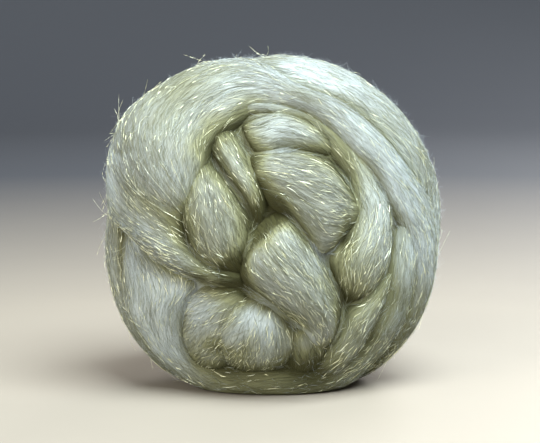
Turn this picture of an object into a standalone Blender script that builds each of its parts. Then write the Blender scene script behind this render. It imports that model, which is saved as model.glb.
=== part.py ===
"""A hand-wound nest of wool roving, standing on the flat its own weight presses into it.

Metres, +Z up, the coiled face towards -Y. The nest is a nominal ellipsoid cut by the floor. Every turn of the
roving is a band laid on that ellipsoid between two edges, with a domed section, and all of them are joined
into one solid.
"""

import collections

import bmesh
import bpy
import numpy as np

# The nominal ellipsoid, half sizes and height of its centre.
HALF_WIDTH = 0.05875
HALF_DEPTH = 0.050
HALF_HEIGHT = 0.063
CENTRE_HEIGHT = 0.054
# The packed middle that the turns lie on, as a share of the ellipsoid.
CORE_SHARE = 0.84
CORE_RINGS = 24
CORE_SPOKES = 36
# Steps between two rows of a table, and points round a section.
STEPS = 5
AROUND = 18
# The grain of the joined surface, the rounds of smoothing that soften its creases, and the size of the mesh.
VOXEL = 0.0014
SOFTENING = 6
TRIANGLES = 10000

# A turn of the roving. Each of its sections is a row:
#   a_clock, a_polar  where edge a lies: degrees anticlockwise from +X seen from the front, and from the front pole
#   b_clock, b_polar  the same for edge b
#   thick             depth of the section in mm
#   crest             height of its top above the ellipsoid in mm, below it where the turn dives in
Strand = collections.namedtuple("Strand", "name closed squareness sections")
MM = 0.001

STRANDS = (
    # The long outer turn: up the right side, over the top, down the left, in under the crossing turn.
    Strand("wrap_outer", closed=False, squareness=2.5, sections=(
        (-100, 96, -104, 124, 18, -3),
        (-76, 90, -78, 118, 18, -1),
        (-52, 80, -52, 106, 19, 0.5),
        (-32, 70, -32, 98, 20, 1.5),
        (-16, 64, -14, 90, 20, 1.5),
        (0, 57, -2, 89, 20, 1),
        (16, 50, 12, 80, 20, 1),
        (32, 47, 26, 67.5, 20, 1.5),
        (48, 45.5, 42, 63, 20, 2),
        (66, 48, 62, 62, 20, 2.5),
        (84, 51, 82, 63, 20, 3),
        (100, 50, 102, 95, 21, 2),
        (112, 46, 114, 99, 22, 4),
        (122, 43, 130, 99, 23, 6),
        (132, 38, 144, 100, 24, 8.5),
        (148, 34, 154, 101, 24, 7),
        (160, 33, 164, 101, 23, 4),
        (170, 32, 172, 94, 22, 2),
        (180, 30, 176, 69, 20, 1),
        (195, 23, 190, 44, 17, -1),
        (215, 15, 210, 26, 12, -4),
        (240, 15, 235, 22, 10, -9),
    )),
    # A closed turn round the rim, outside the long one.
    Strand("wrap_rim", closed=True, squareness=2.3, sections=(
        (0, 70, 0, 106, 20, 0.5),
        (22, 66, 22, 103, 21, 2.5),
        (42, 62, 42, 101, 22, 2.5),
        (60, 61.5, 60, 100, 22, 2),
        (80, 66, 80, 105, 20, 0.5),
        (105, 80, 105, 116, 20, -1),
        (130, 84, 130, 120, 20, 0),
        (150, 82, 150, 118, 20, 0),
        (170, 76, 170, 112, 20, 0),
        (190, 72, 190, 108, 20, 1),
        (210, 72, 210, 106, 20, 2),
        (230, 73, 230, 106, 20, 1.5),
        (255, 76, 255, 108, 20, -2),
        (280, 78, 280, 110, 20, -2),
        (300, 76, 300, 108, 20, -1),
        (335, 72, 335, 107, 20, 0.5),
    )),
    # A closed turn behind the rim.
    Strand("back_ring", closed=True, squareness=2.1, sections=(
        (0, 98, 0, 130, 20, 0),
        (40, 94, 40, 128, 20, 0.5),
        (80, 98, 80, 132, 20, 0),
        (120, 106, 120, 138, 20, 0),
        (160, 106, 160, 140, 20, 0.5),
        (200, 98, 200, 134, 20, 0),
        (240, 96, 240, 128, 20, -1.5),
        (280, 98, 280, 128, 20, -1.5),
        (320, 100, 320, 132, 20, 0),
    )),
    # A closed turn further back.
    Strand("back_coil", closed=True, squareness=2.1, sections=(
        (0, 120, 0, 152, 20, 0),
        (45, 122, 45, 156, 20, -0.5),
        (90, 126, 90, 160, 20, -0.5),
        (135, 130, 135, 164, 20, -1),
        (180, 128, 180, 162, 20, -0.5),
        (225, 122, 225, 156, 20, -1),
        (270, 118, 270, 150, 20, -1),
        (315, 118, 315, 150, 20, 0),
    )),
    # The turn tucked across the back.
    Strand("back_bar", closed=False, squareness=2.1, sections=(
        (30, 118, 62, 116, 13, -9),
        (28, 134, 72, 132, 18, -1.5),
        (20, 150, 84, 148, 20, 1.5),
        (-8, 164, 112, 163, 21, 2),
        (-70, 165, 176, 165, 21, 2),
        (-92, 150, -158, 150, 20, 1.5),
        (-104, 134, -148, 134, 18, -1),
        (-112, 120, -142, 120, 13, -9),
    )),
    # From under the long turn at the right, along the bottom, up the left.
    Strand("hoop", closed=False, squareness=2.3, sections=(
        (36, 48, 36, 54, 12, -10),
        (24, 56, 24, 61, 13, -5),
        (16, 54, 16, 61, 15, -3),
        (8, 53, 8, 64, 16, -3),
        (-12, 50, -12, 73, 18, -2),
        (-24, 50, -22, 84, 18, -2),
        (-36, 51, -32, 85, 18, -1.5),
        (-52, 55, -44, 84, 18, -1.5),
        (-70, 51, -62, 83, 18, 0),
        (-86, 48, -80, 83, 18, 0.5),
        (-100, 49.5, -98, 82, 18, 0.5),
        (-116, 55.5, -116, 82, 18, 0.5),
        (-130, 56, -136, 84, 20, 0.5),
        (-146, 41, -156, 86, 21, 1),
        (-154, 33, -162, 87, 21, 0),
        (-163, 33, -170, 88, 21, -1.5),
        (-172, 40, -176, 88, 20, -3),
        (-181, 52, -184, 88, 18, -5.5),
        (-190, 52, -192, 76, 16, -12),
    )),
    # Inside the long turn at the top right, tucked under the crossing turn.
    Strand("lane", closed=False, squareness=2.1, sections=(
        (116, 55, 116, 65, 11, -10),
        (106, 50, 106, 59, 13, -4),
        (96, 49, 96, 56, 14, -2),
        (72, 45, 70, 54, 14, -2.5),
        (44, 38.5, 42, 52, 15, -3),
        (32, 35.5, 28, 52, 15, -3),
        (20, 31, 14, 54, 16, -2.5),
        (10, 26.5, 0, 52, 17, -2),
        (-5, 20, -10, 52, 18, -2),
        (-25, 23, -24, 49, 17, -3.5),
        (-36, 32, -36, 46, 14, -7.5),
        (-48, 38, -48, 46, 10, -12),
    )),
    # Carries the same run on towards the bottom.
    Strand("lane_low", closed=False, squareness=2.1, sections=(
        (-10, 53, -8, 64, 11, -9),
        (-18, 46, -12, 56, 13, -5.5),
        (-30, 41, -24, 54, 15, -3),
        (-40, 37, -36, 56, 16, -2),
        (-56, 42, -50, 60, 16, -1.5),
        (-74, 50, -66, 66, 15, -2.5),
        (-84, 58, -78, 82, 13, -5),
        (-92, 74, -88, 82, 10, -9),
    )),
    # The small roll at the top of the middle.
    Strand("roll_top", closed=False, squareness=2.1, sections=(
        (108, 55, 106, 40, 12, -9),
        (104, 50, 102, 33, 15, -3.5),
        (96, 51, 92, 31, 17, -1.5),
        (84, 52, 84, 33, 18, -1),
        (60, 49, 64, 36, 17, -3.5),
        (38, 54, 42, 42, 12, -12),
    )),
    # The big lobe at the upper right of the middle.
    Strand("roll_big", closed=False, squareness=2.1, sections=(
        (110, 39, 108, 20, 17, -8),
        (105, 37, 92, 13, 22, -2.5),
        (92, 36, 40, 11, 24, 0),
        (60, 39.5, -14, 18, 26, 0.5),
        (35, 40, 4, 31, 20, -4.5),
        (24, 45, 8, 41, 15, -10),
    )),
    # The narrow turn at the upper left of the middle.
    Strand("finger", closed=False, squareness=2.1, sections=(
        (130, 68, 112, 71, 12, -10),
        (128, 51, 110, 53, 15, -4.5),
        (128, 41, 108, 41, 17, -2),
        (126, 30, 104, 29, 17, -1.5),
        (125, 20, 95, 19, 16, -3),
        (155, 8, 95, 8, 12, -10),
    )),
    # The deep strip between the narrow turn and the big lobe.
    Strand("slip", closed=False, squareness=2.1, sections=(
        (108, 50, 104, 51, 10, -10),
        (108, 40, 100, 40, 11, -8),
        (104, 32, 96, 32, 11, -8),
        (100, 23, 90, 23, 11, -10),
        (95, 16, 75, 15, 11, -14),
    )),
    # The oval turn at the left of the middle.
    Strand("bean", closed=False, squareness=2.1, sections=(
        (140, 59, 128, 54, 14, -9),
        (140, 48, 126, 39, 18, -3.5),
        (148, 44, 124, 28, 22, -1),
        (160, 41, 122, 18, 24, 0),
        (172, 38, 125, 11, 24, -0.5),
        (186, 33, 155, 6, 21, -2),
        (200, 26, 205, 7, 17, -5),
        (225, 21, 245, 10, 13, -10),
    )),
    # The foremost turn, crossing the middle down to the right.
    Strand("cross", closed=False, squareness=2.1, sections=(
        (85, 21, 195, 23, 18, -13),
        (70, 16, 205, 16, 23, -4),
        (50, 14, 225, 17, 26, 1.5),
        (-5, 17, 265, 19, 25, 2.5),
        (-34, 32, -72, 31, 22, 0),
        (-42, 40, -72, 41, 19, -3),
        (-52, 48, -70, 53, 15, -7),
        (-62, 59, -72, 74, 11, -12),
    )),
    # The fanned lobe at the bottom of the middle.
    Strand("heap", closed=False, squareness=2.6, sections=(
        (-144, 20, -68, 22, 18, -11),
        (-140, 23, -72, 23, 22, -5),
        (-136, 29, -72, 28, 25, -1),
        (-131, 41, -71, 38, 25, -0.7),
        (-124, 58, -75, 53, 20, -5),
        (-114, 80, -82, 77, 13, -12),
    )),
    # Its left fold.
    Strand("heap_side", closed=False, squareness=2.1, sections=(
        (-142, 19, -106, 18, 12, -10),
        (-150, 23, -102, 21, 17, -5),
        (-155, 31, -100, 28, 20, -3),
        (-153, 42, -100, 36, 22, -2.2),
        (-147, 52, -100, 45, 22, -2.2),
        (-139, 62, -104, 56, 20, -3.2),
        (-131, 78, -109, 70, 16, -7),
        (-122, 82, -112, 80, 12, -11),
    )),
    # The thin fold between that lobe and the crossing turn.
    Strand("sliver", closed=False, squareness=2.1, sections=(
        (-86, 26, -58, 31, 13, -9),
        (-87, 30, -55, 36, 16, -4),
        (-87, 42, -56, 48, 17, -3),
        (-86, 54, -61, 59, 16, -4),
        (-84, 78, -72, 80, 11, -10),
    )),
)


def unit(vectors):
    """The vectors at length one."""
    return vectors / np.maximum(np.linalg.norm(vectors, axis=-1, keepdims=True), 1e-12)


def direction(clock, polar):
    """Unit vectors for clock and polar angles in degrees."""
    clock, polar = np.broadcast_arrays(np.radians(clock), np.radians(polar))
    return np.stack([np.sin(polar) * np.cos(clock), -np.cos(polar), np.sin(polar) * np.sin(clock)], axis=-1)


def on_ellipsoid(directions, height):
    """Points at a height above the nominal ellipsoid, along its own normal."""
    half = np.array([HALF_WIDTH, HALF_DEPTH, HALF_HEIGHT])
    centre = np.array([0.0, 0.0, CENTRE_HEIGHT])
    return centre + directions * half + unit(directions / half) * height[..., None]


def spline(rows, closed):
    """A Catmull-Rom curve through the rows, STEPS points from one to the next."""
    if closed:
        padded = np.vstack([rows[-1:], rows, rows[:2]])
        spans = len(rows)
    else:
        padded = np.vstack([2 * rows[:1] - rows[1:2], rows, 2 * rows[-1:] - rows[-2:-1]])
        spans = len(rows) - 1
    at = np.linspace(0, spans, spans * STEPS + 1)
    if closed:
        at = at[:-1]
    first = np.minimum(at.astype(int), spans - 1)
    t = (at - first)[:, None]
    before, here, there, after = (padded[first + k] for k in range(4))
    return 0.5 * (
        2 * here
        + (there - before) * t
        + (2 * before - 5 * here + 4 * there - after) * t**2
        + (3 * here - before - 3 * there + after) * t**3
    )


def strand_points(strand):
    """A grid of points, sections by places round each: superellipses laid between the two edges."""
    table = np.array(strand.sections, float)
    rows = np.hstack([
        direction(table[:, 0], table[:, 1]),
        direction(table[:, 2], table[:, 3]),
        table[:, 4:] * MM,
    ])
    rows = spline(rows, strand.closed)
    edge_a, edge_b = unit(rows[:, 0:3]), unit(rows[:, 3:6])
    thick, crest = np.maximum(rows[:, 6], 2 * MM), rows[:, 7]
    angle = np.linspace(0, 2 * np.pi, AROUND, endpoint=False)
    power = 2 / strand.squareness
    across = (1 + np.sign(np.cos(angle)) * np.abs(np.cos(angle)) ** power) / 2
    up = np.sign(np.sin(angle)) * np.abs(np.sin(angle)) ** power
    toward = unit(edge_a[:, None] * (1 - across)[None, :, None] + edge_b[:, None] * across[None, :, None])
    height = (crest - thick / 2)[:, None] + thick[:, None] / 2 * up
    return on_ellipsoid(toward, height)


def core_points():
    """The packed middle: rings from the front pole to the back one, without the poles themselves."""
    polar = np.linspace(0, 180, CORE_RINGS + 1)[1:-1]
    clock = np.linspace(0, 360, CORE_SPOKES, endpoint=False)
    toward = direction(clock[None, :], polar[:, None])
    centre = np.array([0.0, 0.0, CENTRE_HEIGHT])
    return centre + (on_ellipsoid(toward, np.zeros(toward.shape[:2])) - centre) * CORE_SHARE


def add_skin(mesh, points, closed):
    """A tube of quads over the grid, with flat ends unless it closes on itself."""
    count, around = points.shape[:2]
    verts = [mesh.verts.new(point) for point in points.reshape(-1, 3)]
    faces = []
    for i in range(count if closed else count - 1):
        here, there = i * around, (i + 1) % count * around
        for j in range(around):
            k = (j + 1) % around
            faces.append(mesh.faces.new([verts[here + j], verts[here + k], verts[there + k], verts[there + j]]))
    if not closed:
        faces.append(mesh.faces.new(verts[:around][::-1]))
        faces.append(mesh.faces.new(verts[-around:]))
    bmesh.ops.recalc_face_normals(mesh, faces=faces)


def evaluated_mesh(obj):
    """The mesh of the object with its modifiers applied."""
    bpy.context.view_layer.update()
    graph = bpy.context.evaluated_depsgraph_get()
    return bpy.data.meshes.new_from_object(obj.evaluated_get(graph))


def apply_modifiers(obj):
    obj.data = evaluated_mesh(obj)
    obj.modifiers.clear()


def keep_outer_shell(obj):
    """Drops the small closed shells left inside by gaps between turns."""
    mesh = bmesh.new()
    mesh.from_mesh(obj.data)
    left = set(mesh.verts)
    shells = []
    while left:
        start = left.pop()
        shell, edge = {start}, [start]
        while edge:
            for link in edge.pop().link_edges:
                for vert in link.verts:
                    if vert in left:
                        left.discard(vert)
                        shell.add(vert)
                        edge.append(vert)
        shells.append(shell)
    shells.sort(key=len)
    for shell in shells[:-1]:
        bmesh.ops.delete(mesh, geom=list(shell), context="VERTS")
    mesh.to_mesh(obj.data)
    mesh.free()


def floor_cutter():
    """A block whose top is the floor."""
    size = 4 * HALF_HEIGHT
    mesh = bmesh.new()
    bmesh.ops.create_cube(mesh, size=size)
    bmesh.ops.translate(mesh, verts=mesh.verts, vec=(0, 0, -size / 2))
    data = bpy.data.meshes.new("floor_cutter")
    mesh.to_mesh(data)
    mesh.free()
    cutter = bpy.data.objects.new("floor_cutter", data)
    cutter.hide_render = True
    cutter.display_type = "WIRE"
    bpy.context.collection.objects.link(cutter)
    return cutter


def centre_on_base(obj):
    """Moves the mesh so that its box is centred in X and Y and stands at Z = 0."""
    points = np.array([vert.co for vert in obj.data.vertices])
    low, high = points.min(axis=0), points.max(axis=0)
    shift = np.array([(low[0] + high[0]) / 2, (low[1] + high[1]) / 2, low[2]])
    for vert, point in zip(obj.data.vertices, points - shift):
        vert.co = point


def wool_material():
    material = bpy.data.materials.new("wool")
    material.use_nodes = True
    shader = material.node_tree.nodes["Principled BSDF"]
    shader.inputs["Base Color"].default_value = (0.72, 0.74, 0.62, 1.0)
    shader.inputs["Roughness"].default_value = 0.85
    return material


def main():
    for obj in list(bpy.data.objects):
        bpy.data.objects.remove(obj)
    mesh = bmesh.new()
    for strand in STRANDS:
        add_skin(mesh, strand_points(strand), strand.closed)
    add_skin(mesh, core_points(), False)
    data = bpy.data.meshes.new("roving")
    mesh.to_mesh(data)
    mesh.free()
    roving = bpy.data.objects.new("roving", data)
    bpy.context.collection.objects.link(roving)

    remesh = roving.modifiers.new("join", "REMESH")
    remesh.mode = "VOXEL"
    remesh.voxel_size = VOXEL
    soften = roving.modifiers.new("soften", "SMOOTH")
    soften.factor = 0.5
    soften.iterations = SOFTENING
    apply_modifiers(roving)
    keep_outer_shell(roving)

    decimate = roving.modifiers.new("thin", "DECIMATE")
    decimate.ratio = TRIANGLES / (2 * len(roving.data.polygons))
    apply_modifiers(roving)

    cutter = floor_cutter()
    cut = roving.modifiers.new("floor", "BOOLEAN")
    cut.operation = "DIFFERENCE"
    cut.solver = "EXACT"
    cut.object = cutter
    apply_modifiers(roving)
    bpy.data.objects.remove(cutter)
    centre_on_base(roving)
    roving.data.materials.clear()
    roving.data.materials.append(wool_material())


main()
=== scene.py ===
"""The looks of a hand-wound nest of white wool roving with pale gold filaments blended in.

Metres, +Z up, the coiled face towards -Y. Every turn of the roving is a band laid on a nominal ellipsoid
between two edges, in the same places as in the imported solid. A place on a turn is given by two parameters:
'at', which runs along its rows (0 at the first row, 1 at the second), and 'angle', which runs round its
domed section. The fibres, the filaments and the haze are slim closed spindles that follow these surfaces.
"""

import collections
import functools
import math

import bpy
import numpy as np
from bpy.props import FloatProperty, FloatVectorProperty, IntProperty, PointerProperty
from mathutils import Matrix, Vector


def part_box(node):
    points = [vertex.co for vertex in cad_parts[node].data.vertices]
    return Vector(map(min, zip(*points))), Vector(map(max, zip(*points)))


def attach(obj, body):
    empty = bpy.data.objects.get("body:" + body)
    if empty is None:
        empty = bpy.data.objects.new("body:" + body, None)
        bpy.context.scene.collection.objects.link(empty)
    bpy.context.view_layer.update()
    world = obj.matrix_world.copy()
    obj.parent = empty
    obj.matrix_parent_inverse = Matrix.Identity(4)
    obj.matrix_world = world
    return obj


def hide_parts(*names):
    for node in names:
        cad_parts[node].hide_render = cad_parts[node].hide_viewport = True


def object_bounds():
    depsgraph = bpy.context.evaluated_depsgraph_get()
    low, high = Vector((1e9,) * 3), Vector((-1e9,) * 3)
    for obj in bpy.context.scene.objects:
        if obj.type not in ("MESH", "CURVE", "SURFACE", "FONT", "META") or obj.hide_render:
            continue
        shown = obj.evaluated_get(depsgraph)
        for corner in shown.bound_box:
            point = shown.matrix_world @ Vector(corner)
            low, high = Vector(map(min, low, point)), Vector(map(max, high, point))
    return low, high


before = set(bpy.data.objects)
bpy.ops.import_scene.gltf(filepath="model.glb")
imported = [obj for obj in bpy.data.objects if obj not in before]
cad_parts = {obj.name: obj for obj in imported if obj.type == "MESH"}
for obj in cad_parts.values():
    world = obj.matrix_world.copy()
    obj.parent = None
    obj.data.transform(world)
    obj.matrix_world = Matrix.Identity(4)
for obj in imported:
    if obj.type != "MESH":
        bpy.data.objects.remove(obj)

bl_info = {
    "name": "Wool roving nest",
    "version": (1, 0, 0),
    "blender": (4, 5, 0),
    "location": "3D View > Sidebar > Roving",
    "description": "Dresses the packed nest of wool roving with its turns, fibres, filaments and haze",
    "category": "Object",
}

NODE = "roving"
BODY = "root"
CAD_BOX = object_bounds()
MM = 0.001

# The nominal ellipsoid: half its width, depth and height, and its centre.
HALF_WIDTH = 0.05875
HALF_DEPTH = 0.050
HALF_HEIGHT = 0.063
HALF = np.array([HALF_WIDTH, HALF_DEPTH, HALF_HEIGHT])
CENTRE = np.array([0.0, 0.0, 0.054])
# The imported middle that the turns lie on, as a share of the ellipsoid.
CORE_SHARE = 0.84
CORE_HEIGHT = (CORE_SHARE - 1) * HALF_DEPTH

# A turn of the roving: how square its sections are, from 2 for an ellipse upwards, whether it closes on its
# first section again, how much paler or darker than usual it is painted, partly for its blend and partly as
# painted light and painted shade, and where it is gathered. Each of its sections is a row:
#   a_clock, a_polar  where edge a lies, in degrees: anticlockwise from +X as seen from the front, and away
#                     from the front pole
#   b_clock, b_polar  the same for edge b
#   thick             depth of the section in mm
#   crest             height of its top above the ellipsoid in mm, below it where the turn dives in
Strand = collections.namedtuple(
    "Strand", "name squareness sections closed blend gather", defaults=(False, 0, None)
)
# Where a turn is gathered, its fibres leave its own line, from one place along it to the next, and fan in
# towards one direction from the ellipsoid's centre. Places below 0 gather the whole turn.
Gather = collections.namedtuple("Gather", "clock polar first last")

STRANDS = (
    # The long outer turn: up the right side, over the top, down the left, in under the crossing turn.
    Strand("wrap_outer", squareness=2.5, blend=-0.28, gather=Gather(-119, 12, 11, 16.5), sections=(
        (-100, 96, -104, 124, 18, -3),
        (-76, 90, -78, 118, 18, -1),
        (-52, 80, -52, 106, 19, 0.5),
        (-32, 70, -32, 98, 20, 1.5),
        (-16, 64, -14, 90, 20, 1.5),
        (0, 57, -2, 89, 20, 1),
        (16, 50, 12, 80, 20, 1),
        (32, 47, 26, 67.5, 20, 1.5),
        (48, 45.5, 42, 63, 20, 2),
        (66, 48, 62, 62, 20, 2.5),
        (84, 51, 82, 63, 20, 3),
        (100, 50, 102, 95, 21, 2),
        (112, 46, 114, 99, 22, 4),
        (122, 43, 130, 99, 23, 6),
        (132, 38, 144, 100, 24, 8.5),
        (148, 34, 154, 101, 24, 7),
        (160, 33, 164, 101, 23, 4),
        (170, 32, 172, 94, 22, 2),
        (180, 30, 176, 69, 20, 1),
        (195, 23, 190, 44, 17, -1),
        (215, 15, 210, 26, 12, -4),
        (240, 15, 235, 22, 10, -9),
    )),
    # A closed turn round the rim, outside the long one.
    Strand("wrap_rim", closed=True, squareness=2.3, blend=-0.15, sections=(
        (0, 70, 0, 106, 20, 0.5),
        (22, 66, 22, 103, 21, 2.5),
        (42, 62, 42, 101, 22, 2.5),
        (60, 61.5, 60, 100, 22, 2),
        (80, 66, 80, 105, 20, 0.5),
        (105, 80, 105, 116, 20, -1),
        (130, 84, 130, 120, 20, 0),
        (150, 82, 150, 118, 20, 0),
        (170, 76, 170, 112, 20, 0),
        (190, 72, 190, 108, 20, 1),
        (210, 72, 210, 106, 20, 2),
        (230, 73, 230, 106, 20, 1.5),
        (255, 76, 255, 108, 20, -2),
        (280, 78, 280, 110, 20, -2),
        (300, 76, 300, 108, 20, -1),
        (335, 72, 335, 107, 20, 0.5),
    )),
    # A closed turn behind the rim.
    Strand("back_ring", closed=True, squareness=2.1, sections=(
        (0, 98, 0, 130, 20, 0),
        (40, 94, 40, 128, 20, 0.5),
        (80, 98, 80, 132, 20, 0),
        (120, 106, 120, 138, 20, 0),
        (160, 106, 160, 140, 20, 0.5),
        (200, 98, 200, 134, 20, 0),
        (240, 96, 240, 128, 20, -1.5),
        (280, 98, 280, 128, 20, -1.5),
        (320, 100, 320, 132, 20, 0),
    )),
    # A closed turn further back.
    Strand("back_coil", closed=True, squareness=2.1, sections=(
        (0, 120, 0, 152, 20, 0),
        (45, 122, 45, 156, 20, -0.5),
        (90, 126, 90, 160, 20, -0.5),
        (135, 130, 135, 164, 20, -1),
        (180, 128, 180, 162, 20, -0.5),
        (225, 122, 225, 156, 20, -1),
        (270, 118, 270, 150, 20, -1),
        (315, 118, 315, 150, 20, 0),
    )),
    # The turn tucked across the back.
    Strand("back_bar", squareness=2.1, sections=(
        (30, 118, 62, 116, 13, -9),
        (28, 134, 72, 132, 18, -1.5),
        (20, 150, 84, 148, 20, 1.5),
        (-8, 164, 112, 163, 21, 2),
        (-70, 165, 176, 165, 21, 2),
        (-92, 150, -158, 150, 20, 1.5),
        (-104, 134, -148, 134, 18, -1),
        (-112, 120, -142, 120, 13, -9),
    )),
    # From under the long turn at the right, along the bottom, up the left.
    Strand("hoop", squareness=2.3, blend=0.04, sections=(
        (36, 48, 36, 54, 12, -10),
        (24, 56, 24, 61, 13, -5),
        (16, 54, 16, 61, 15, -3),
        (8, 53, 8, 64, 16, -3),
        (-12, 50, -12, 73, 18, -2),
        (-24, 50, -22, 84, 18, -2),
        (-36, 51, -32, 85, 18, -1.5),
        (-52, 55, -44, 84, 18, -1.5),
        (-70, 51, -62, 83, 18, 0),
        (-86, 48, -80, 83, 18, 0.5),
        (-100, 49.5, -98, 82, 18, 0.5),
        (-116, 55.5, -116, 82, 18, 0.5),
        (-130, 56, -136, 84, 20, 0.5),
        (-146, 41, -156, 86, 21, 1),
        (-154, 33, -162, 87, 21, 0),
        (-163, 33, -170, 88, 21, -1.5),
        (-172, 40, -176, 88, 20, -3),
        (-181, 52, -184, 88, 18, -5.5),
        (-190, 52, -192, 76, 16, -12),
    )),
    # Inside the long turn at the top right, tucked under the crossing turn.
    Strand("lane", squareness=2.1, blend=-0.08, sections=(
        (116, 55, 116, 65, 11, -10),
        (106, 50, 106, 59, 13, -4),
        (96, 49, 96, 56, 14, -2),
        (72, 45, 70, 54, 14, -2.5),
        (44, 38.5, 42, 52, 15, -3),
        (32, 35.5, 28, 52, 15, -3),
        (20, 31, 14, 54, 16, -2.5),
        (10, 26.5, 0, 52, 17, -2),
        (-5, 20, -10, 52, 18, -2),
        (-25, 23, -24, 49, 17, -3.5),
        (-36, 32, -36, 46, 14, -7.5),
        (-48, 38, -48, 46, 10, -12),
    )),
    # Carries the same run on towards the bottom.
    Strand("lane_low", squareness=2.1, sections=(
        (-10, 53, -8, 64, 11, -9),
        (-18, 46, -12, 56, 13, -5.5),
        (-30, 41, -24, 54, 15, -3),
        (-40, 37, -36, 56, 16, -2),
        (-56, 42, -50, 60, 16, -1.5),
        (-74, 50, -66, 66, 15, -2.5),
        (-84, 58, -78, 82, 13, -5),
        (-92, 74, -88, 82, 10, -9),
    )),
    # The small roll at the top of the middle.
    Strand("roll_top", squareness=2.1, blend=-0.22, sections=(
        (108, 55, 106, 40, 12, -9),
        (104, 50, 102, 33, 15, -3.5),
        (96, 51, 92, 31, 17, -1.5),
        (84, 52, 84, 33, 18, -1),
        (60, 49, 64, 36, 17, -3.5),
        (38, 54, 42, 42, 12, -12),
    )),
    # The big lobe at the upper right of the middle.
    Strand("roll_big", squareness=2.1, blend=-0.47, sections=(
        (110, 39, 108, 20, 17, -8),
        (105, 37, 92, 13, 22, -2.5),
        (92, 36, 40, 11, 24, 0),
        (60, 39.5, -14, 18, 26, 0.5),
        (35, 40, 4, 31, 20, -4.5),
        (24, 45, 8, 41, 15, -10),
    )),
    # The narrow turn at the upper left of the middle.
    Strand("finger", squareness=2.1, blend=-0.30, sections=(
        (130, 68, 112, 71, 12, -10),
        (128, 51, 110, 53, 15, -4.5),
        (128, 41, 108, 41, 17, -2),
        (126, 30, 104, 29, 17, -1.5),
        (125, 20, 95, 19, 16, -3),
        (155, 8, 95, 8, 12, -10),
    )),
    # The deep strip between the narrow turn and the big lobe.
    Strand("slip", squareness=2.1, blend=-0.35, sections=(
        (108, 50, 104, 51, 10, -10),
        (108, 40, 100, 40, 11, -8),
        (104, 32, 96, 32, 11, -8),
        (100, 23, 90, 23, 11, -10),
        (95, 16, 75, 15, 11, -14),
    )),
    # The oval turn at the left of the middle.
    Strand("bean", squareness=2.1, blend=-0.60, sections=(
        (140, 59, 128, 54, 14, -9),
        (140, 48, 126, 39, 18, -3.5),
        (148, 44, 124, 28, 22, -1),
        (160, 41, 122, 18, 24, 0),
        (172, 38, 125, 11, 24, -0.5),
        (186, 33, 155, 6, 21, -2),
        (200, 26, 205, 7, 17, -5),
        (225, 21, 245, 10, 13, -10),
    )),
    # The foremost turn, crossing the middle down to the right.
    Strand("cross", squareness=2.1, blend=-0.28, sections=(
        (85, 21, 195, 23, 18, -13),
        (70, 16, 205, 16, 23, -4),
        (50, 14, 225, 17, 26, 1.5),
        (-5, 17, 265, 19, 25, 2.5),
        (-34, 32, -72, 31, 22, 0),
        (-42, 40, -72, 41, 19, -3),
        (-52, 48, -70, 53, 15, -7),
        (-62, 59, -72, 74, 11, -12),
    )),
    # The fanned lobe at the bottom of the middle.
    Strand("heap", squareness=2.6, blend=0.10, gather=Gather(-82, 8, -2, -1), sections=(
        (-144, 20, -68, 22, 18, -11),
        (-140, 23, -72, 23, 22, -5),
        (-136, 29, -72, 28, 25, -1),
        (-131, 41, -71, 38, 25, -0.7),
        (-124, 58, -75, 53, 20, -5),
        (-114, 80, -82, 77, 13, -12),
    )),
    # Its left fold.
    Strand("heap_side", squareness=2.1, blend=-0.18, gather=Gather(-82, 8, -2, -1), sections=(
        (-142, 19, -106, 18, 12, -10),
        (-150, 23, -102, 21, 17, -5),
        (-155, 31, -100, 28, 20, -3),
        (-153, 42, -100, 36, 22, -2.2),
        (-147, 52, -100, 45, 22, -2.2),
        (-139, 62, -104, 56, 20, -3.2),
        (-131, 78, -109, 70, 16, -7),
        (-122, 82, -112, 80, 12, -11),
    )),
    # The thin fold between that lobe and the crossing turn.
    Strand("sliver", squareness=2.1, blend=-0.20, sections=(
        (-86, 26, -58, 31, 13, -9),
        (-87, 30, -55, 36, 16, -4),
        (-87, 42, -56, 48, 17, -3),
        (-86, 54, -61, 59, 16, -4),
        (-84, 78, -72, 80, 11, -10),
    )),
)

# The distance from the middle of the fan at which a bearing round it is turned into metres.
GATHER_RADIUS = 0.030
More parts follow.
